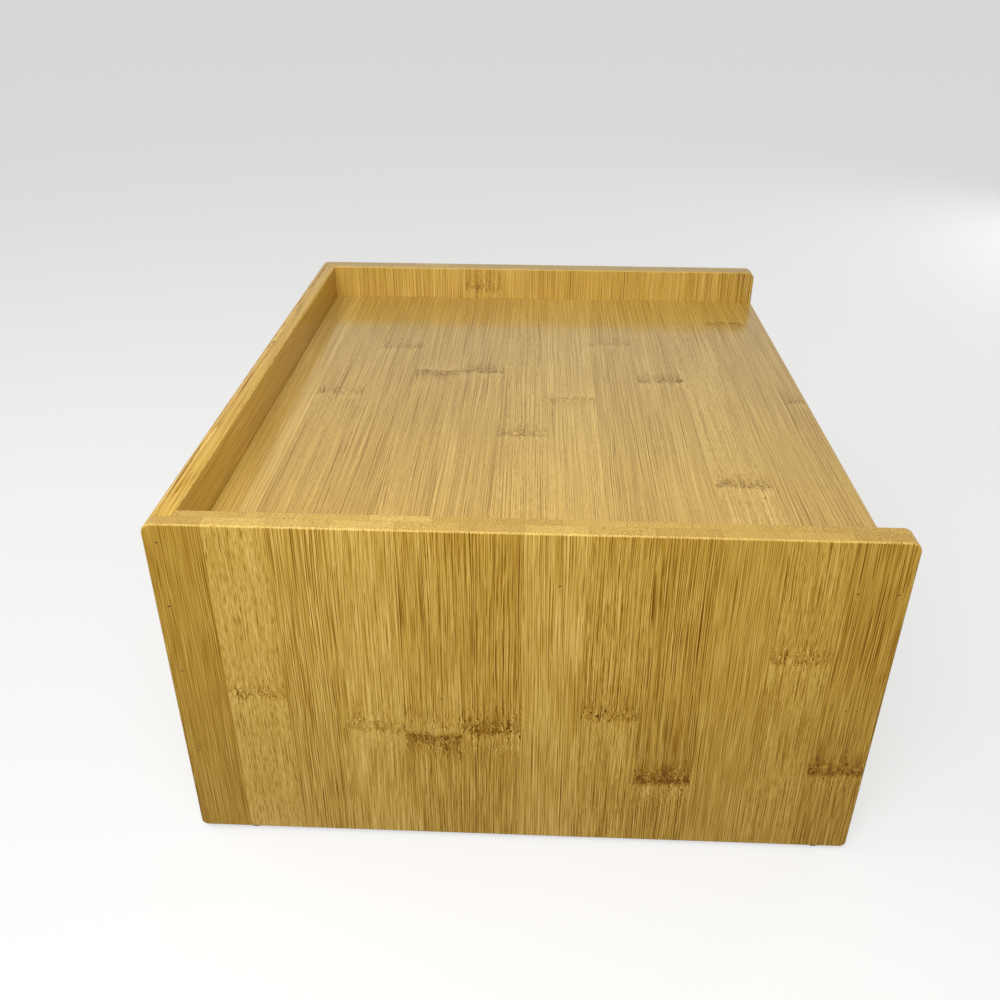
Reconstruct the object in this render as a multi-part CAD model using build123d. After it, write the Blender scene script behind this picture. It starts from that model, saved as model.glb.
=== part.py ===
from build123d import *
import os

# A bamboo monitor stand: a tray top with a low wall on three sides, an open bay
# under it and one drawer. Millimetres, X to the right, front towards -Y, Z up.
# The origin is under the middle of the whole stand, knob included, on the desk.

# The case as a whole, and the clear heights in it from the bottom up
case_width = 308.0
case_depth = 260.0
base_lift = 10.0
drawer_opening_height = 44.0
bay_height = 42.0
lip_height = 18.0

# Boards of the case; a side panel is two plies, and the back stands in its inner one
side_thickness = 10.0
outer_ply = 5.5
back_thickness = 9.5
top_thickness = 10.0
shelf_thickness = 10.0
base_thickness = 10.0

# Sanded corners and edges of the boards
panel_top_corner = 4.0
panel_foot_corner = 2.5
panel_edge = 0.8
board_edge = 1.0
joint_edge = 0.4

# Dowels of the case; the cover is the wood left between a hole's end and the outer face
dowel_radius = 3.0
dowel_length = 22.0
dowel_cover = 3.5
dowel_end_margin = 32.0
dowels_per_end = 3

# Fits that all dowels share
dowel_fit = 0.05
dowel_end_room = 0.5
dowel_point = 0.6

# Thin pins driven in through the side panels, their heads just under the surface.
# Into a board: how far behind the front, at one level under the board's upper face.
# Into the back panel: how high over the panel's lower edge.
pin_radius = 0.45
pin_length = 28.0
pin_sink = 0.5
pin_fit = 0.05
pin_end_room = 0.3
board_pin_level = 3.0
top_pin_insets = (4.0, 17.5, 118.0)
shelf_pin_insets = (8.5, 12.5, 160.0)
base_pin_insets = (8.0, 12.0)
back_pin_heights = (17.0, 41.0, 80.5, 110.0, 136.5)

# Rubber feet, under the side panels
foot_radius = 3.5
foot_height = 2.0
foot_edge = 0.5
foot_margin = 12.0

# The drawer
drawer_front_thickness = 10.0
drawer_side_thickness = 8.0
drawer_back_thickness = 8.0
drawer_bottom_thickness = 3.0
drawer_gap_above_walls = 5.0
drawer_side_gap = 1.0
drawer_gap_above_front = 1.2
drawer_gap_below_front = 0.8
drawer_recess = 1.0
drawer_edge = 0.8
groove_depth = 4.0
groove_level = 5.0
groove_fit = 0.15

# Dowels of the drawer
drawer_dowel_radius = 2.5
drawer_dowel_length = 18.0
drawer_dowel_cover = 3.0
drawer_dowel_margin = 9.0

# The knob and what holds it
knob_length = 20.0
knob_radius = 12.0
knob_dome_height = 5.5
knob_lip_height = 3.0
knob_lip_width = 1.5
knob_neck_radius = 5.5
knob_neck_height = 5.0
knob_base_radius = 7.5
knob_screw_radius = 2.0
knob_screw_bite = 12.0
knob_screw_head_radius = 3.9
knob_screw_head_height = 2.6
knob_screw_hole_fit = 0.25
screw_fit = 0.05
screw_end_room = 0.5
cross_length = 4.4
cross_width = 1.0
cross_depth = 1.2
washer_radius = 5.5
washer_thickness = 1.0

# Planes of the case, worked out from the sizes above
knob_reach = knob_length - drawer_recess
front_y = (knob_reach - case_depth) / 2
rear_y = front_y + case_depth
back_face_y = rear_y - back_thickness
inside_x = case_width / 2 - side_thickness
rabbet_x = case_width / 2 - outer_ply
floor_z = foot_height
base_z = floor_z + base_lift
base_top_z = base_z + base_thickness
shelf_z = base_top_z + drawer_opening_height
top_z = shelf_z + shelf_thickness + bay_height
rim_z = top_z + top_thickness + lip_height


def block(x, y, z):
    """A square block between its low and high limits along each axis."""
    centre = [(low + high) / 2 for low, high in (x, y, z)]
    size = [high - low for low, high in (x, y, z)]
    return Pos(*centre) * Box(*size)


def rod_along_x(centre, radius, length):
    return Pos(*centre) * Rot(0, 90, 0) * Cylinder(radius, length)


def rod_along_y(centre, radius, length):
    return Pos(*centre) * Rot(90, 0, 0) * Cylinder(radius, length)


def pointed(dowel):
    """A dowel with its two ends chamfered."""
    return chamfer(dowel.edges().filter_by(GeomType.CIRCLE), dowel_point)


def face_edges(shape, axis, last):
    """The edges round the face that lies furthest along an axis, or least far."""
    return shape.faces().sort_by(axis)[-1 if last else 0].edges()


def evenly(low, high, count):
    """Places from low to high, evenly spaced."""
    if count == 1:
        return [(low + high) / 2]
    step = (high - low) / (count - 1)
    return [low + step * i for i in range(count)]


# Dowels at the two ends of a board of the case

def end_dowel_places(board_z, thickness):
    """The side, depth and level of each dowel at the ends of one board."""
    depths = evenly(front_y + dowel_end_margin, back_face_y - dowel_end_margin, dowels_per_end)
    return [(side, y, board_z + thickness / 2) for side in (-1, 1) for y in depths]


def end_rods(board_z, thickness, radius, end_room):
    """Rods at those places, their outer ends under the cover of the side panels."""
    outer_x = case_width / 2 - dowel_cover - dowel_end_room
    middle_x = outer_x - dowel_length / 2
    length = dowel_length + 2 * end_room
    places = end_dowel_places(board_z, thickness)
    return [rod_along_x((side * middle_x, y, z), radius, length) for side, y, z in places]


def end_dowels(board_z, thickness):
    return [pointed(rod) for rod in end_rods(board_z, thickness, dowel_radius, 0)]


def end_dowel_holes(board_z, thickness):
    return end_rods(board_z, thickness, dowel_radius + dowel_fit, dowel_end_room)


# Pins through the side panels

def pin_places():
    """The depth and level of every pin, the same in both side panels."""
    boards = (
        (base_top_z, base_pin_insets),
        (shelf_z + shelf_thickness, shelf_pin_insets),
        (top_z + top_thickness, top_pin_insets),
    )
    in_boards = [
        (front_y + inset, upper_z - board_pin_level) for upper_z, insets in boards for inset in insets
    ]
    in_back = [(rear_y - back_thickness / 2, floor_z + height) for height in back_pin_heights]
    return in_boards + in_back


def pins(side):
    middle_x = case_width / 2 - pin_sink - pin_length / 2
    return [rod_along_x((side * middle_x, y, z), pin_radius, pin_length) for y, z in pin_places()]


def pin_holes(side):
    """Their holes, open at the outer face of the side panel."""
    inner_x = case_width / 2 - pin_sink - pin_length - pin_end_room
    outer_x = case_width / 2 + pin_sink
    middle_x = (inner_x + outer_x) / 2
    radius = pin_radius + pin_fit
    return [rod_along_x((side * middle_x, y, z), radius, outer_x - inner_x) for y, z in pin_places()]


# Boards of the case

def all_end_dowel_holes():
    return (
        end_dowel_holes(base_z, base_thickness)
        + end_dowel_holes(shelf_z, shelf_thickness)
        + end_dowel_holes(top_z, top_thickness)
    )


def side_panel(side):
    """A side panel: rounded corners, sanded edges, a rabbet for the back."""
    middle = Pos((front_y + rear_y) / 2, (floor_z + rim_z) / 2)
    outline = Plane.YZ * middle * Rectangle(case_depth, rim_z - floor_z)
    outline = fillet(outline.vertices().group_by(Axis.Z)[-1], panel_top_corner)
    outline = fillet(outline.vertices().group_by(Axis.Z)[0], panel_foot_corner)
    panel = Pos(side * (inside_x + side_thickness / 2), 0, 0) * extrude(
        outline, side_thickness / 2, both=True
    )
    panel = fillet(face_edges(panel, Axis.X, True) + face_edges(panel, Axis.X, False), panel_edge)
    rabbet = block(
        sorted((side * (inside_x - panel_edge), side * rabbet_x)),
        (back_face_y, rear_y + panel_edge),
        (floor_z - panel_edge, rim_z + panel_edge),
    )
    return panel - rabbet - all_end_dowel_holes() - pin_holes(side)


def back_panel():
    """The back, its ends in the rabbets of the side panels, rounded behind like their corners."""
    panel = block((-rabbet_x, rabbet_x), (back_face_y, rear_y), (floor_z, rim_z))
    rear_high = face_edges(panel, Axis.Y, True).filter_by(Axis.X).sort_by(Axis.Z)[-1:]
    panel = fillet(rear_high, panel_top_corner)
    rear_low = face_edges(panel, Axis.Y, True).filter_by(Axis.X).sort_by(Axis.Z)[:1]
    panel = fillet(rear_low, panel_foot_corner)
    front_high = face_edges(panel, Axis.Y, False).filter_by(Axis.X).sort_by(Axis.Z)[-1:]
    panel = fillet(front_high, board_edge)
    return panel - pin_holes(-1) - pin_holes(1)


def case_board(z, thickness):
    """A board that runs from side to side and from the front to the back panel."""
    board = block((-inside_x, inside_x), (front_y, back_face_y), (z, z + thickness))
    board = fillet(face_edges(board, Axis.Y, False).filter_by(Axis.X), board_edge)
    upper = face_edges(board, Axis.Z, True)
    board = chamfer(upper.filter_by(Axis.Y) + upper.sort_by(Axis.Y)[-1:], joint_edge)
    return board - end_dowel_holes(z, thickness) - pin_holes(-1) - pin_holes(1)


def foot(side, end):
    """A rubber foot stuck under a side panel; end is -1 in front, 1 behind."""
    x = side * (inside_x + side_thickness / 2)
    y = front_y + foot_margin if end < 0 else back_face_y - foot_margin
    disc = Pos(x, y, foot_height / 2) * Cylinder(foot_radius, foot_height)
    return fillet(disc.edges().group_by(Axis.Z)[0], foot_edge)


# The drawer, shut: its back stands against the back panel

front_face_y = front_y + drawer_recess
front_inner_y = front_face_y + drawer_front_thickness
drawer_rear_y = back_face_y
drawer_back_y = drawer_rear_y - drawer_back_thickness
drawer_x = inside_x - drawer_side_gap
drawer_inside_x = drawer_x - drawer_side_thickness
front_low_z = base_top_z + drawer_gap_below_front
front_high_z = shelf_z - drawer_gap_above_front
wall_top_z = shelf_z - drawer_gap_above_walls
groove_z = base_top_z + groove_level
sheet_top_z = groove_z + drawer_bottom_thickness
knob_z = (front_low_z + front_high_z) / 2
drawer_dowel_levels = (sheet_top_z + drawer_dowel_margin, wall_top_z - drawer_dowel_margin)


def drawer_sheet(reach, top_z):
    """A level sheet that goes into the four walls of the drawer by its reach."""
    return block(
        (-drawer_inside_x - reach, drawer_inside_x + reach),
        (front_inner_y - reach, drawer_back_y + reach),
        (groove_z, top_z),
    )


def drawer_bottom():
    return drawer_sheet(groove_depth - groove_fit, sheet_top_z)


def drawer_grooves():
    """The room that the bottom has in the walls; it lies on the lower side of the grooves."""
    return drawer_sheet(groove_depth, sheet_top_z + groove_fit)


def drawer_front_rods(radius, end_room):
    """Rods from the front into the ends of the sides."""
    low_y = front_face_y + drawer_dowel_cover + dowel_end_room
    x = drawer_x - drawer_side_thickness / 2
    length = drawer_dowel_length + 2 * end_room
    middle_y = low_y + drawer_dowel_length / 2
    places = [(side * x, middle_y, z) for side in (-1, 1) for z in drawer_dowel_levels]
    return [rod_along_y(place, radius, length) for place in places]


def drawer_back_rods(radius, end_room):
    """Rods from the sides into the ends of the back."""
    outer_x = drawer_x - drawer_dowel_cover - dowel_end_room
    y = drawer_back_y + drawer_back_thickness / 2
    length = drawer_dowel_length + 2 * end_room
    middle_x = outer_x - drawer_dowel_length / 2
    places = [(side * middle_x, y, z) for side in (-1, 1) for z in drawer_dowel_levels]
    return [rod_along_x(place, radius, length) for place in places]


def drawer_dowel_holes():
    radius = drawer_dowel_radius + dowel_fit
    return drawer_front_rods(radius, dowel_end_room) + drawer_back_rods(radius, dowel_end_room)


def drawer_front():
    board = block((-drawer_x, drawer_x), (front_face_y, front_inner_y), (front_low_z, front_high_z))
    board = fillet(face_edges(board, Axis.Y, False), board_edge)
    screw_hole = rod_along_y(
        (0, (front_face_y + front_inner_y) / 2, knob_z),
        knob_screw_radius + knob_screw_hole_fit,
        drawer_front_thickness * 2,
    )
    return board - drawer_dowel_holes() - drawer_grooves() - screw_hole


def drawer_side(side):
    board = block(
        sorted((side * drawer_inside_x, side * drawer_x)),
        (front_inner_y, drawer_rear_y),
        (base_top_z, wall_top_z),
    )
    board = fillet(face_edges(board, Axis.Z, True).filter_by(Axis.Y), drawer_edge)
    return board - drawer_dowel_holes() - drawer_grooves()


def drawer_back():
    board = block(
        (-drawer_inside_x, drawer_inside_x), (drawer_back_y, drawer_rear_y), (base_top_z, wall_top_z)
    )
    board = fillet(face_edges(board, Axis.Z, True).filter_by(Axis.X), drawer_edge)
    return board - drawer_dowel_holes() - drawer_grooves()


# The knob and what holds it, made upright and then laid along the drawer's way

def cross_recess():
    """The cross in a screw's head, its top at zero."""
    slot = Pos(0, 0, -cross_depth / 2) * Box(cross_length, cross_width, cross_depth)
    return slot + Rot(0, 0, 90) * slot


def knob():
    """A turned wooden knob: a foot, a waist and a domed head, drilled for its screw."""
    base = (knob_base_radius, 0)
    neck = (knob_neck_radius, knob_neck_height)
    rim = (knob_radius, knob_length - knob_dome_height)
    flare = (knob_radius - knob_lip_width, rim[1] - knob_lip_height)
    top = (0, knob_length)
    foot_line = Line((0, 0), base)
    waist = ThreePointArc(base, neck, flare)
    lip = Line(flare, rim)
    dome = TangentArc(top, rim, tangent=(1, 0))
    axis_line = Line(top, (0, 0))
    outline = make_face(Plane.XZ * (foot_line + waist + lip + dome + axis_line))
    turned = revolve(outline, Axis.Z)
    pilot_depth = knob_screw_bite + screw_end_room
    pilot = Pos(0, 0, pilot_depth / 2) * Cylinder(knob_screw_radius + screw_fit, pilot_depth)
    return Pos(0, front_face_y, knob_z) * Rot(90, 0, 0) * (turned - pilot)


def knob_screw():
    """A pan-head screw from inside the drawer, through the front into the knob."""
    head = Pos(0, 0, -knob_screw_head_height / 2) * Cylinder(knob_screw_head_radius, knob_screw_head_height)
    head = fillet(head.edges().group_by(Axis.Z)[-1], knob_screw_head_height / 2)
    length = washer_thickness + drawer_front_thickness + knob_screw_bite
    shank = Pos(0, 0, -knob_screw_head_height - length / 2) * Cylinder(knob_screw_radius, length)
    screw = head + shank - cross_recess()
    head_top_y = front_inner_y + washer_thickness + knob_screw_head_height
    return Pos(0, head_top_y, knob_z) * Rot(-90, 0, 0) * screw


def knob_washer():
    middle = (0, front_inner_y + washer_thickness / 2, knob_z)
    disc = rod_along_y(middle, washer_radius, washer_thickness)
    return disc - rod_along_y(middle, knob_screw_radius + knob_screw_hole_fit, washer_thickness * 2)


def group(solids):
    return Compound(children=list(solids))


nodes = {
    "left_side_panel": side_panel(-1),
    "right_side_panel": side_panel(1),
    "back_panel": back_panel(),
    "top_board": case_board(top_z, top_thickness),
    "shelf_board": case_board(shelf_z, shelf_thickness),
    "bottom_board": case_board(base_z, base_thickness),
    "top_board_dowels": group(end_dowels(top_z, top_thickness)),
    "shelf_board_dowels": group(end_dowels(shelf_z, shelf_thickness)),
    "bottom_board_dowels": group(end_dowels(base_z, base_thickness)),
    "left_side_pins": group(pins(-1)),
    "right_side_pins": group(pins(1)),
    "front_left_foot": foot(-1, -1),
    "front_right_foot": foot(1, -1),
    "rear_left_foot": foot(-1, 1),
    "rear_right_foot": foot(1, 1),
    "drawer_front": drawer_front(),
    "drawer_left_side": drawer_side(-1),
    "drawer_right_side": drawer_side(1),
    "drawer_back": drawer_back(),
    "drawer_bottom": drawer_bottom(),
    "drawer_front_dowels": group(pointed(rod) for rod in drawer_front_rods(drawer_dowel_radius, 0)),
    "drawer_back_dowels": group(pointed(rod) for rod in drawer_back_rods(drawer_dowel_radius, 0)),
    "drawer_knob": knob(),
    "knob_screw": knob_screw(),
    "knob_washer": knob_washer(),
}

os.makedirs("parts", exist_ok=True)
for name, shape in nodes.items():
    export_step(shape, f"parts/{name}.step")
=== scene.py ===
import bpy
import math
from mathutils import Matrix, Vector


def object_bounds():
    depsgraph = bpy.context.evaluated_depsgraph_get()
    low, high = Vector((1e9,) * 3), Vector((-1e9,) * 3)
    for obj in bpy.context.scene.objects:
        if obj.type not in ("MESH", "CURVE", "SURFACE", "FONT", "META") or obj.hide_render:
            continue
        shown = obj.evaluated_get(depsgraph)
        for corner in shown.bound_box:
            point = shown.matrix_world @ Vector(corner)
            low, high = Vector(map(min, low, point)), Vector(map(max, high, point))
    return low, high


# The bare stand as it was made in the workshop. Sizes below are in millimetres,
# and everything that Blender is given is in metres.
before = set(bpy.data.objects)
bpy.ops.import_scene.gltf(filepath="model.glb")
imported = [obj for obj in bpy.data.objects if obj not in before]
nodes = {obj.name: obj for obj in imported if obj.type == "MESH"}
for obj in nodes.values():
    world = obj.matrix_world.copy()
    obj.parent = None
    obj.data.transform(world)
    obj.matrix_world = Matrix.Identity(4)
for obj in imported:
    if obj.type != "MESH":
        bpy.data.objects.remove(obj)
cad_box = [list(corner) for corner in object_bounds()]
bpy.ops.object.select_all(action="DESELECT")


# Left side panel: two plies of bamboo strips glued edge to edge, their fibres
# upright, pressed together, sanded and given two coats of clear satin lacquer.
# Its outer ply laps over the end of the back panel.

class Wire:
    """A number somewhere in a finish, which sums and products can be made of."""

    def __init__(self, finish, socket):
        self.finish = finish
        self.socket = socket

    def sum_of(self, operation, *values):
        sockets = dict(enumerate(values))
        return self.finish.add("ShaderNodeMath", {"operation": operation}, sockets)

    def __add__(self, other):
        return self.sum_of("ADD", self, other)

    def __radd__(self, other):
        return self.sum_of("ADD", other, self)

    def __sub__(self, other):
        return self.sum_of("SUBTRACT", self, other)

    def __rsub__(self, other):
        return self.sum_of("SUBTRACT", other, self)

    def __mul__(self, other):
        return self.sum_of("MULTIPLY", self, other)

    def __rmul__(self, other):
        return self.sum_of("MULTIPLY", other, self)

    def __truediv__(self, other):
        return self.sum_of("DIVIDE", self, other)

    def __gt__(self, other):
        return self.sum_of("GREATER_THAN", self, other)

    def __mod__(self, other):
        return self.sum_of("FLOORED_MODULO", self, other)

    def __abs__(self):
        return self.sum_of("ABSOLUTE", self)

    def floor(self):
        return self.sum_of("FLOOR", self)

    def most(self, other):
        return self.sum_of("MAXIMUM", self, other)

    def rise(self, low, high):
        """0 below low, 1 above high, smooth between them."""
        sockets = {"Value": self, "From Min": low, "From Max": high, "To Min": 0.0, "To Max": 1.0}
        return self.finish.add("ShaderNodeMapRange", {"interpolation_type": "SMOOTHSTEP"}, sockets)

    def fall(self, low, high):
        return 1.0 - self.rise(low, high)


class Finish:
    """What a surface is finished with: one material and the nodes in it."""

    def __init__(self, name, roughness, metallic=0.0, coat=0.0, coat_roughness=0.1):
        self.material = bpy.data.materials.new(name)
        self.material.use_nodes = True
        self.tree = self.material.node_tree
        self.shader = self.tree.nodes["Principled BSDF"]
        self.shader.inputs["Roughness"].default_value = roughness
        self.shader.inputs["Metallic"].default_value = metallic
        self.shader.inputs["Coat Weight"].default_value = coat
        self.shader.inputs["Coat Roughness"].default_value = coat_roughness

    def add(self, kind, settings, sockets, output=0):
        """A new node with its settings, then what goes into its sockets; gives an output."""
        node = self.tree.nodes.new(kind)
        for name, value in settings.items():
            if name == "stops":
                stops = node.color_ramp.elements
                for place, colour in value[len(stops):]:
                    stops.new(place)
                for stop, (place, colour) in zip(stops, value):
                    stop.position = place
                    stop.color = colour
            elif name == "steps":
                node.color_ramp.interpolation = value
            else:
                setattr(node, name, value)
        for name, value in sockets.items():
            self.feed(node.inputs[name], value)
        return Wire(self, node.outputs[output])

    def ramp(self, value, stops, steps="LINEAR"):
        """The colour that the stops, each a place and a colour, give for a value."""
        return self.add("ShaderNodeValToRGB", {"steps": steps, "stops": stops}, {0: value})

    def feed(self, socket, value):
        if isinstance(value, Wire):
            self.tree.links.new(value.socket, socket)
        else:
            socket.default_value = value

    def millimetres(self):
        """The place on the piece along its three axes."""
        place = self.add("ShaderNodeTexCoord", {}, {}, "Object")
        parts = self.add("ShaderNodeSeparateXYZ", {}, {0: place})
        return [Wire(self, output) * 1000.0 for output in parts.socket.node.outputs]

    def point(self, *parts):
        return self.add("ShaderNodeCombineXYZ", {}, dict(enumerate(parts)))

    def three(self, colour):
        """The three numbers in a colour."""
        parts = self.add("ShaderNodeSeparateColor", {}, {0: colour})
        return [Wire(self, output) for output in parts.socket.node.outputs]

    def noise(self, place, detail=2.0):
        sockets = {"Vector": place, "Scale": 1.0, "Detail": detail}
        return self.add("ShaderNodeTexNoise", {}, sockets)

    def mix(self, share, first, second):
        sockets = {0: share, 6: first, 7: second}
        return self.add("ShaderNodeMix", {"data_type": "RGBA"}, sockets, 2)

    def facing(self):
        """Which way the surface looks, along the three axes."""
        normal = self.add("ShaderNodeNewGeometry", {}, {}, "Normal")
        parts = self.add("ShaderNodeSeparateXYZ", {}, {0: normal})
        return [Wire(self, output) for output in parts.socket.node.outputs]

    def arris(self):
        """1 on rounded edges and corners, 0 on faces square to an axis."""
        across, along, up = [abs(part) for part in self.facing()]
        return across.most(along).most(up).fall(0.86, 0.99)

    def coat_with(self, nodes_named):
        """Puts the finish on pieces that stay as the CAD made them."""
        for name in nodes_named:
            data = nodes[name].data
            data.materials.clear()
            data.materials.append(self.material)


def shade(red, green, blue):
    """A colour as it is seen, 0 to 255, in the form that a shader takes."""
    parts = []
    for value in (red, green, blue):
        value = value / 255
        parts.append(value / 12.92 if value < 0.04045 else ((value + 0.055) / 1.055) ** 2.4)
    return (*parts, 1.0)


def fibre_bundles(board, side, level, pitch, seed):
    """The dark bundles of fibres in bamboo, seen as lines along a strip and as dots
    on its end. side and level run across and through it, pitch is their spacing."""
    column = (side / pitch).floor()
    sockets = {"W": column + seed}
    chance = board.add("ShaderNodeTexWhiteNoise", {"noise_dimensions": "1D"}, sockets, "Color")
    lift, shift, weight = board.three(chance)
    place = level / (pitch * 1.4) + lift * 9.0
    beside = side / pitch - column - 0.5 + (shift - 0.5) * 0.5
    above = place - place.floor() - 0.5
    return (beside * beside + above * above * 0.3).fall(0.01, 0.055) * (0.5 + weight * 0.6)


def bamboo(name, place, seams, ply, strips, seed, fibre=70.0, coat=0.5, pale=0.0):
    """Glued bamboo strips. place turns x, y, z into the way along the fibres, from a start
    of the board's own, the way across the strips and the way through the board; seams
    gives the first seam and the width of a strip; ply is the depth of the joint between
    the two plies. Each strip in the first ply has its tone, its share of long lines and
    of short dashes, and the place, strength and turn of its node; strips that are not
    listed take theirs by chance. fibre is the length in which the lines change."""
    board = Finish(name, 0.45, coat=coat, coat_roughness=0.17)
    board.shader.inputs["Specular IOR Level"].default_value = 0.1
    along, across, through = place(*board.millimetres())
    facing = place(*board.facing())[0] - place(0.0, 0.0, 0.0)[0]
    end = abs(facing).rise(0.5, 0.8)

    def noise(*parts, detail=1.0):
        return board.noise(board.point(*parts), detail)

    def wander(*parts, detail=1.0):
        """Noise that goes as far below 0 as above it."""
        return noise(*parts, detail=detail) - 0.5

    # which ply and strip a place is in, and how far into the strip
    first_seam, strip_width = seams
    ply_offset = strip_width * 0.43
    inner = through > ply
    shifted = across + inner * ply_offset
    number = ((shifted - first_seam) / strip_width).floor()
    inside = (shifted - first_seam) % strip_width
    sockets = {"Vector": board.point(number + seed, inner * 7.0 + 0.5, 0.5)}
    chance = board.add("ShaderNodeTexWhiteNoise", {"noise_dimensions": "3D"}, sockets, "Color")
    first, second, third = board.three(chance)

    # what each strip is like, by chance or from the list; a ramp holds only 0 to 1,
    # so the places of the nodes go into it as shares of a long pole
    node_spacing = 214.0
    pole = 400.0
    tone = 0.28 + first * 0.22
    lines = 0.3 + second * 0.6
    dashes = 0.1 + third * 0.6
    strength = 0.45 + second * 0.5
    turned = third > 0.5
    from_node = (along - first * 211.0 - third * 97.0) % node_spacing - node_spacing / 2
    if strips:
        looks = []
        knots = []
        for i, (strip_tone, strip_lines, strip_dashes, knot_place, *knot_look) in enumerate(strips):
            looks.append((i / len(strips), (strip_tone, strip_lines, strip_dashes, 1.0)))
            knots.append((i / len(strips), (knot_place / pole + 0.5, *knot_look, 1.0)))
        slot = (number + 0.5) / len(strips)
        look = board.three(board.ramp(slot, looks, steps="CONSTANT"))
        knot = board.three(board.ramp(slot, knots, steps="CONSTANT"))
        outer = 1.0 - inner
        tone = tone * inner + look[0] * outer
        lines = lines * inner + look[1] * outer
        dashes = dashes * inner + look[2] * outer
        strength = strength * inner + knot[1] * outer
        turned = turned * inner + knot[2] * outer
        from_node = from_node * inner + (along - (knot[0] - 0.5) * pole) * outer

    # the front of the node bows a little, and the fibres curl just beyond it
    bow = wander(across / 7.0, number * 1.7 + 20.0, 0.5)
    height = (from_node + bow * 4.5) * (1.0 - turned * 2.0)
    curling = height.rise(-2.5, 0.0) * height.fall(2.0, 8.0) * strength

    # fibres run a little askew in each strip, and wander; near a node they break up
    run = along + first * 900.0 + inner * 300.0
    sway = wander(run / 70.0, across / 25.0, through / 30.0)
    near = abs(from_node).fall(3.0, 20.0) * strength
    curl = wander(along / 2.2, across / 1.3, through / 1.3)
    stray = wander(run / 90.0, across / 1.7, through / 1.1)
    side = across + sway * 1.6 + (third - 0.5) * along * 0.02 + stray * 1.1
    side = side + curl * (near * 2.0 + curling * 4.0)
    slow = wander(run / fibre, side / 2.3, through / 8.0)
    quick = wander(run / 8.0, side / 0.9, through / 8.0)
    level = through + slow * 5.0 + quick * (dashes + near) * 2.4
    bundles = fibre_bundles(board, side, level, 1.0, number * 37.0 + inner * 500.0)
    thread_seed = number * 53.0 + inner * 700.0 + 0.5
    threads = fibre_bundles(board, side + 0.3, level * 0.7, 0.58, thread_seed)
    fine_lines = wander(run / (fibre * 0.9) + 40.0, side / 0.36, through / 0.4)
    rain = noise(run / 4.5 + 70.0, side / 0.45, through / 0.4, detail=0.0).rise(0.5, 0.7)
    groups = noise(run / (fibre * 1.2) + 9.0, side / 4.0, through / 5.0, detail=2.0)
    cloud = wander(run / 34.0 + 3.0, across / 13.0, through / 13.0, detail=2.0)

    # the node: a jagged front, brown on one side and pale on the other, with flames,
    # hooks and pale strokes where the fibres curl
    jag = wander(across / 0.7, along / 4.0, through / 0.8)
    whorls = noise(across / 1.1, along / 3.2, through / 1.0)
    front = height + jag * 8.0
    reach = noise(across / 0.5, number * 2.3 + 50.0, through / 0.8, detail=0.0).rise(0.3, 0.7)
    comb = abs(((across + curl * 3.0 + whorls * 1.5) / 0.95) % 1.0 - 0.5).fall(0.1, 0.34)
    flames = comb * height.rise(-0.8, 0.4) * (reach * 6.0 - height).rise(-0.8, 0.8)
    hooks = abs((whorls * 6.0) % 1.0 - 0.5).rise(0.1, 0.4)
    band = height.rise(-1.4, 0.4) * height.fall(2.0, 7.0)
    crest = abs(front).fall(0.4, 1.3) * whorls.rise(0.35, 0.5)
    brown = height.rise(-2.5, 0.5) * height.fall(1.0, 15.0) * (0.4 + groups.rise(0.4, 0.6) * 0.8)
    ripple = height.rise(-11.0, -4.0) * height.fall(-3.0, -0.5)
    strokes = noise(along / 4.0, side / 0.6, through / 0.5, detail=0.0).rise(0.46, 0.62)

    # how deep the colour is, from all of that and the glue in the joints
    deep = tone - 0.1 + end * 0.06 + (groups - 0.5) * 0.15 + cloud * 0.12
    grain = bundles * (0.14 + lines * 0.3) + threads * (0.2 + lines * 0.34)
    deep = deep + grain * (1.0 - end * 0.6) * (1.0 + curling * 0.9)
    deep = deep + fine_lines * (0.8 + lines * 0.9) + rain * dashes * 0.26
    deep = deep + (crest * 0.12 + flames * 0.24 + (hooks - 0.5) * band * 0.2) * strength
    deep = deep + brown * strength * strength * 0.32 - ripple * strength * 0.07
    deep = deep - (strokes - 0.2) * curling * 0.42
    seam = inside.most(strip_width - inside).rise(strip_width - 0.25, strip_width - 0.08)
    glue = abs(through - ply).fall(0.05, 0.2)
    deep = deep + seam * (0.06 + end * 0.14) + glue * end * 0.12
    palette = [
        (0.0, shade(238, 200, 110)),
        (0.25, shade(212, 171, 73)),
        (0.5, shade(186, 144, 44)),
        (0.75, shade(153, 107, 10)),
        (1.0, shade(112, 68, 0)),
    ]
    colour = board.mix(end * 0.25 + pale, board.ramp(deep, palette), shade(166, 154, 110))

    # edges are worn pale, with chips, and the lacquer sinks into the darkest grain; the pale on the
    # rounded edges is partly worn fibre and partly a painted highlight
    edge_wear_and_highlight = board.arris()
    chips = noise(along / 5.0, across / 0.5, through / 0.7, detail=2.0)
    # painted highlight and wear: rounded edges are painted pale, partly for light catching them and
    # partly for worn fibre
    colour = board.mix(edge_wear_and_highlight * (0.15 + chips.rise(0.4, 0.6) * 0.4), colour, shade(232, 200, 124))
    colour = board.mix(edge_wear_and_highlight * chips.fall(0.32, 0.4) * 0.35, colour, shade(124, 84, 22))
    lacquer = coat * (1.0 - edge_wear_and_highlight * 0.7) * (1.0 - deep.rise(0.55, 0.95) * 0.85)
    relief = bundles * 0.5 + hooks * band * strength * 0.5 + fine_lines * 0.8
    sockets = {"Strength": 0.25, "Distance": 0.00015, "Height": relief}
    bump = board.add("ShaderNodeBump", {"invert": True}, sockets)
    board.feed(board.shader.inputs["Base Color"], colour)
    board.feed(board.shader.inputs["Roughness"], 0.4 + bundles * 0.12 + edge_wear_and_highlight * 0.25)
    board.feed(board.shader.inputs["Coat Weight"], lacquer)
    board.feed(board.shader.inputs["Normal"], bump)
    return board


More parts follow.
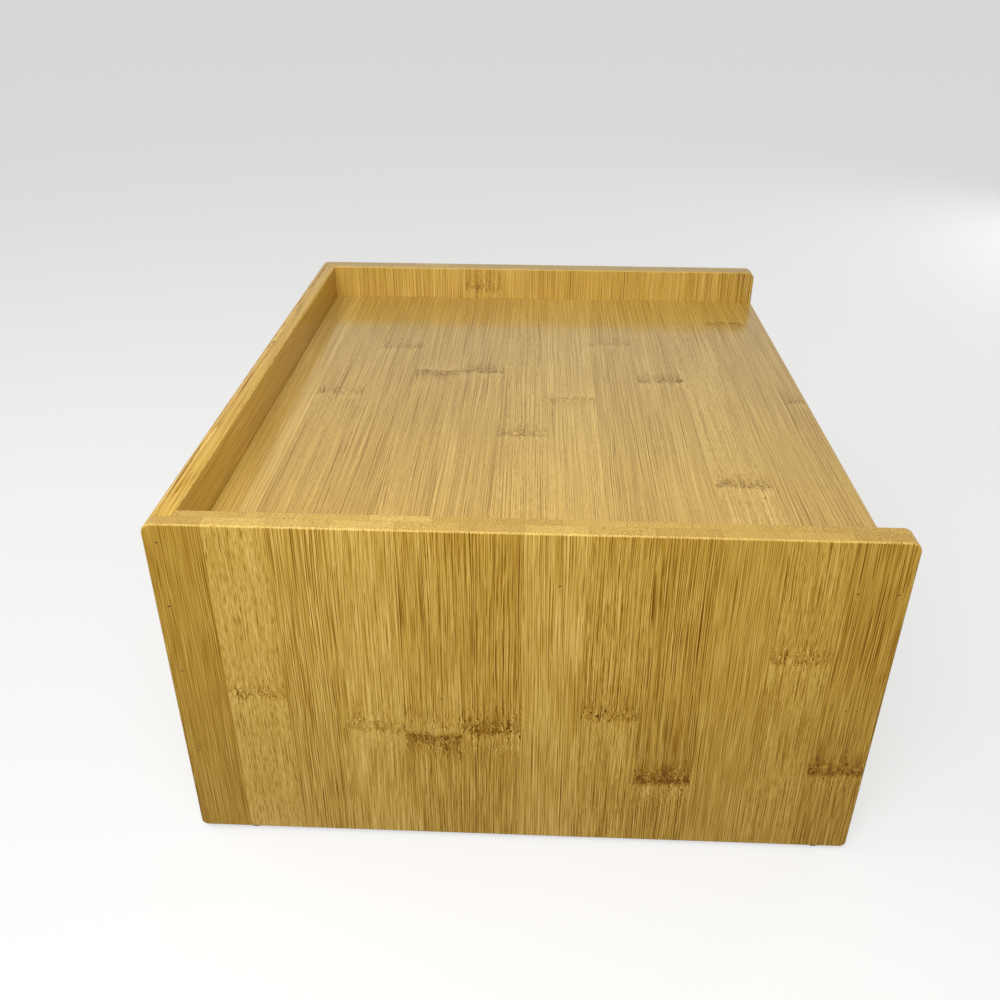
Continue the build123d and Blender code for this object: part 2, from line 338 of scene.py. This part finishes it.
rear = round(cad_box[1][1] * 1000.0, 1)
half_width = round(cad_box[1][0] * 1000.0, 1)
top_edge = round(cad_box[1][2] * 1000.0, 1)
foot = 2.0
no_node = (-150.0, 0.0, 0.0)
left_strips = [
    (0.51, 0.25, 0.02, *no_node),
    (0.23, 0.30, 1.00, 69.5, 0.6, 0.0),
    (0.35, 0.90, 0.15, *no_node),
    (0.25, 0.60, 0.35, 55.0, 0.6, 0.0),
    (0.37, 0.70, 0.30, 53.0, 0.9, 1.0),
    (0.43, 0.80, 0.25, 56.0, 0.8, 0.0),
    (0.28, 0.75, 0.20, *no_node),
    (0.38, 0.70, 0.50, 64.0, 0.5, 0.0),
    (0.46, 0.90, 0.30, 33.0, 1.0, 0.0),
    (0.41, 0.45, 0.15, *no_node),
    (0.37, 0.50, 0.60, 93.0, 0.5, 0.0),
    (0.51, 0.60, 0.10, 40.0, 0.85, 0.0),
]
left_bamboo = bamboo(
    "left_side_bamboo",
    lambda x, y, z: (z - foot, rear - y, x + half_width),
    (-1.3, 21.8), 5.5, left_strips, 11.0, fibre=38.0, coat=0.3,
)
left_bamboo.coat_with(["left_side_panel"])


# Right side panel: the mirror image of the left one, cut from another glued board.
# Its inner ply shows as the lip at the far end of the tray.

board_thickness = 10.0
right_strips = [
    (0.30, 0.3, 0.1, *no_node),
    (0.36, 0.4, 0.1, *no_node),
    (0.34, 0.4, 0.1, *no_node),
    (0.30, 0.5, 0.1, *no_node),
    (0.38, 0.5, 0.3, 132.0, 0.6, 0.0),
    (0.32, 0.4, 0.1, *no_node),
    (0.40, 0.5, 0.1, *no_node),
    (0.34, 0.4, 0.1, *no_node),
    (0.38, 0.5, 0.1, *no_node),
    (0.32, 0.4, 0.1, *no_node),
    (0.36, 0.5, 0.1, *no_node),
    (0.44, 0.6, 0.1, *no_node),
]
right_bamboo = bamboo(
    "right_side_bamboo",
    lambda x, y, z: (z - foot, rear - y, x - half_width + board_thickness),
    (1.0, 21.8), 4.5, right_strips, 47.0, pale=0.12,
)
right_bamboo.coat_with(["right_side_panel"])


# Back panel: strips laid level, standing in the rabbets of the side panels,
# its upper edge the low wall at the back of the tray.

back_face = rear - 9.5
back_strips = [
    (0.36, 0.5, 0.3, 60.0, 0.6, 0.0),
    (0.33, 0.6, 0.2, -110.0, 0.8, 1.0),
    (0.40, 0.5, 0.4, 20.0, 0.5, 0.0),
    (0.34, 0.7, 0.2, -60.0, 0.7, 1.0),
    (0.38, 0.5, 0.3, 90.0, 0.9, 0.0),
    (0.35, 0.3, 0.2, -30.0, 0.6, 0.0),
    (0.44, 0.10, 0.05, *no_node),
]
back_bamboo = bamboo(
    "back_bamboo",
    lambda x, y, z: (x + 40.0, z - foot, y - back_face),
    (-0.6, 20.8), 4.75, back_strips, 83.0,
)
back_bamboo.coat_with(["back_panel"])


# Top board: the tray that the monitor stands on, two plies of bamboo strips that run
# from side to side, glued and dowelled between the side panels.

tray_level = top_edge - 18.0
top_strips = [
    (0.31, 0.28, 0.2, *no_node),
    (0.46, 0.32, 0.4, -2.0, 0.55, 0.0),
    (0.50, 0.35, 0.3, 59.0, 0.5, 0.0),
    (0.47, 0.35, 0.3, 27.5, 0.8, 1.0),
    (0.45, 0.35, 0.3, 27.5, 0.8, 0.0),
    (0.39, 0.42, 0.5, -44.0, 0.6, 0.0),
    (0.34, 0.35, 0.4, -3.0, 0.6, 1.0),
    (0.43, 0.42, 0.3, 69.0, 0.5, 0.0),
    (0.42, 0.35, 0.3, 18.5, 0.8, 0.0),
    (0.34, 0.35, 0.6, -86.0, 0.8, 0.0),
    (0.44, 0.35, 0.3, 106.0, 0.6, 1.0),
    (0.46, 0.35, 0.3, -3.5, 0.5, 0.0),
]
top_bamboo = bamboo(
    "top_bamboo",
    lambda x, y, z: (x, rear - y, tray_level - z),
    (4.8, 22.2), 5.0, top_strips, 131.0, fibre=110.0, coat=0.88, pale=0.18,
)
top_bamboo.coat_with(["top_board"])


# Shelf board and bottom board: the same glued board in two plies, over and under the
# drawer, dowelled into the side panels like the top board.

base_level = foot + 20.0
shelf_level = base_level + 44.0 + board_thickness
shelf_bamboo = bamboo(
    "shelf_bamboo",
    lambda x, y, z: (x + 15.0, rear - y, shelf_level - z),
    (7.0, 22.2), 5.0, [], 167.0,
)
shelf_bamboo.coat_with(["shelf_board"])
base_bamboo = bamboo(
    "base_bamboo",
    lambda x, y, z: (x + 60.0, rear - y, base_level - z),
    (12.0, 22.2), 5.0, [], 211.0,
)
base_bamboo.coat_with(["bottom_board"])


# Dowels: short beech rods glued across the joints. They carry the boards in the side
# panels and hold the corners of the drawer.

beech = Finish("dowel_beech", 0.6)
x, y, z = beech.millimetres()
grain = beech.noise(beech.point(x / 8.0, y / 0.8, z / 0.8), 3.0)
flecks = beech.noise(beech.point(x / 2.0, y / 0.4, z / 0.4), 1.0).rise(0.55, 0.7)
tone = beech.mix(grain, shade(222, 196, 156), shade(192, 156, 112))
tone = beech.mix(flecks * 0.4, tone, shade(158, 116, 78))
beech.feed(beech.shader.inputs["Base Color"], tone)
beech.coat_with([
    "top_board_dowels", "shelf_board_dowels", "bottom_board_dowels",
    "drawer_front_dowels", "drawer_back_dowels",
])


# Pins: thin steel brads shot through the side panels, their heads just under the face
# and dulled by the lacquer over them.

pin_steel = Finish("pin_steel", 0.45, metallic=0.3)
x, y, z = pin_steel.millimetres()
dull = pin_steel.noise(pin_steel.point(x / 3.0, y / 0.6, z / 0.6), 2.0)
dark_steel = pin_steel.mix(dull, shade(96, 68, 34), shade(138, 106, 62))
pin_steel.feed(pin_steel.shader.inputs["Base Color"], dark_steel)
pin_steel.feed(pin_steel.shader.inputs["Roughness"], 0.35 + dull * 0.3)
pin_steel.coat_with(["left_side_pins", "right_side_pins"])


# Feet: four small discs of black rubber, stuck under the front and the rear end of
# each side panel.

rubber = Finish("foot_rubber", 0.8)
x, y, z = rubber.millimetres()
specks = rubber.noise(rubber.point(x / 0.7, y / 0.7, z / 0.7), 3.0)
black = rubber.mix(specks, shade(24, 24, 25), shade(46, 45, 44))
rubber.feed(rubber.shader.inputs["Base Color"], black)
rubber.feed(rubber.shader.inputs["Roughness"], 0.7 + specks * 0.25)
rubber.coat_with(["front_left_foot", "front_right_foot", "rear_left_foot", "rear_right_foot"])


# Drawer: a front, two sides and a back of the same bamboo, its strips level, the front
# a little thicker than the others. Dowels and glue hold its corners.

case_depth = 260.0
drawer_face = rear - case_depth + 1.0
drawer_side = half_width - board_thickness - 1.0
wall = 8.0
front_strips = [
    (0.36, 0.5, 0.3, -62.0, 0.6, 0.0),
    (0.32, 0.6, 0.2, 84.0, 0.7, 1.0),
]
front_bamboo = bamboo(
    "drawer_front_bamboo",
    lambda x, y, z: (x + 25.0, z, y - drawer_face),
    (22.4, 21.4), 5.0, front_strips, 251.0,
)
front_bamboo.coat_with(["drawer_front"])
left_wall_bamboo = bamboo(
    "drawer_left_bamboo",
    lambda x, y, z: (y, z, x + drawer_side),
    (base_level, 20.0), 20.0, [], 283.0,
)
left_wall_bamboo.coat_with(["drawer_left_side"])
right_wall_bamboo = bamboo(
    "drawer_right_bamboo",
    lambda x, y, z: (y, z, x - (drawer_side - wall)),
    (base_level, 20.0), 20.0, [], 307.0,
)
right_wall_bamboo.coat_with(["drawer_right_side"])
rear_wall_bamboo = bamboo(
    "drawer_back_bamboo",
    lambda x, y, z: (x, z, y - (back_face - wall)),
    (base_level, 20.0), 20.0, [], 331.0,
)
rear_wall_bamboo.coat_with(["drawer_back"])


# Drawer bottom: a thin sheet of bamboo ply, its fibres running from side to side, that
# sits in grooves round the drawer.

sheet_level = base_level + 5.0
sheet_bamboo = bamboo(
    "drawer_sheet_bamboo",
    lambda x, y, z: (x, y, z - sheet_level),
    (-10.0, 31.0), 1.5, [], 367.0, pale=0.05,
)
sheet_bamboo.coat_with(["drawer_bottom"])


# Knob: turned from one block of bamboo and lacquered. A zinc-plated screw from inside
# the drawer holds it, over a washer of the same metal.

knob_bamboo = bamboo(
    "knob_bamboo",
    lambda x, y, z: (y, x, z),
    (-60.0, 120.0), 200.0, [], 401.0,
)
knob_bamboo.coat_with(["drawer_knob"])
zinc = Finish("screw_zinc", 0.3, metallic=1.0)
x, y, z = zinc.millimetres()
brushed = zinc.noise(zinc.point(x / 0.5, y / 2.0, z / 0.5), 2.0)
plated = zinc.mix(brushed, shade(178, 178, 176), shade(214, 212, 206))
zinc.feed(zinc.shader.inputs["Base Color"], plated)
zinc.feed(zinc.shader.inputs["Roughness"], 0.22 + brushed * 0.2)
zinc.coat_with(["knob_screw", "knob_washer"])


# Floor of the studio: a wide sheet, paler to look at than as a light on the stand,
# which it isn't part of.

bpy.ops.mesh.primitive_plane_add(size=40.0, location=(0.0, 0.0, 0.0))
floor = bpy.context.object
floor.name = "studio_floor"
paper = Finish("studio_paper", 0.9)
paper.shader.inputs["Specular IOR Level"].default_value = 0.0
rays = paper.add("ShaderNodeLightPath", {}, {}).socket.node.outputs
looked_at = Wire(paper, rays["Is Camera Ray"]).most(Wire(paper, rays["Is Glossy Ray"]))
looked_at = looked_at.most(Wire(paper, rays["Is Transmission Ray"]))
sheet = paper.mix(looked_at, shade(84, 83, 80), shade(160, 160, 160))
paper.feed(paper.shader.inputs["Base Color"], sheet)
glow = paper.mix(looked_at, (0.0, 0.0, 0.0, 1.0), (0.58, 0.58, 0.575, 1.0))
paper.feed(paper.shader.inputs["Emission Color"], glow)
paper.shader.inputs["Emission Strength"].default_value = 1.0
floor.data.materials.append(paper.material)


# Light: a pale room, a soft lamp over the camera, and two more that fill in the back
# and the front. The lacquer doesn't mirror the one in front, which stands low.

world = bpy.data.worlds.new("studio_room")
bpy.context.scene.world = world
world.use_nodes = True
room = world.node_tree
ground = room.nodes["Background"]
ground.inputs["Color"].default_value = (0.93, 0.93, 0.92, 1.0)
path = room.nodes.new("ShaderNodeLightPath")
seen = room.nodes.new("ShaderNodeMath")
seen.operation = "MAXIMUM"
room.links.new(path.outputs["Is Camera Ray"], seen.inputs[0])
room.links.new(path.outputs["Is Glossy Ray"], seen.inputs[1])
seen_through = room.nodes.new("ShaderNodeMath")
seen_through.operation = "MAXIMUM"
room.links.new(seen.outputs[0], seen_through.inputs[0])
room.links.new(path.outputs["Is Transmission Ray"], seen_through.inputs[1])

# how strong the room is as a light, and as it is looked at or mirrored
level = room.nodes.new("ShaderNodeMapRange")
level.inputs["To Min"].default_value = 0.32
level.inputs["To Max"].default_value = 0.76
room.links.new(seen_through.outputs[0], level.inputs["Value"])
room.links.new(level.outputs[0], ground.inputs["Strength"])


def lamp(name, place, aim, size, power):
    bpy.ops.object.light_add(type="AREA", location=place)
    light = bpy.context.object
    light.name = name
    light.data.shape = "DISK"
    light.data.size = size
    light.data.energy = power
    way = [goal - start for goal, start in zip(aim, place)]
    level_way = math.hypot(way[0], way[1])
    light.rotation_euler = (math.atan2(level_way, -way[2]), 0.0, math.atan2(-way[0], way[1]))
    return light


lamp("overhead_lamp", (-0.1, 0.6, 0.8), (0.0, 0.0, 0.1), 0.6, 2.6)
fill_lamp = lamp("fill_lamp", (0.75, -0.95, 0.17), (0.0, 0.0, 0.08), 0.3, 4.2)
fill_lamp.visible_glossy = False
lamp("camera_lamp", (-0.52, 0.06, 0.6), (-0.05, 0.0, 0.1), 0.5, 4.15)


# Camera: where the photograph was taken from.

bpy.ops.object.camera_add(location=(-0.42535, 0.00742, 0.31519))
camera = bpy.context.object
camera.name = "camera"
camera.rotation_euler = [math.radians(angle) for angle in (60.022, -0.201, -87.615)]
camera.data.lens = 34.81
camera.data.sensor_width = 36.0
camera.data.clip_start = 0.01
bpy.context.scene.camera = camera
bpy.context.scene.view_settings.view_transform = "Standard"
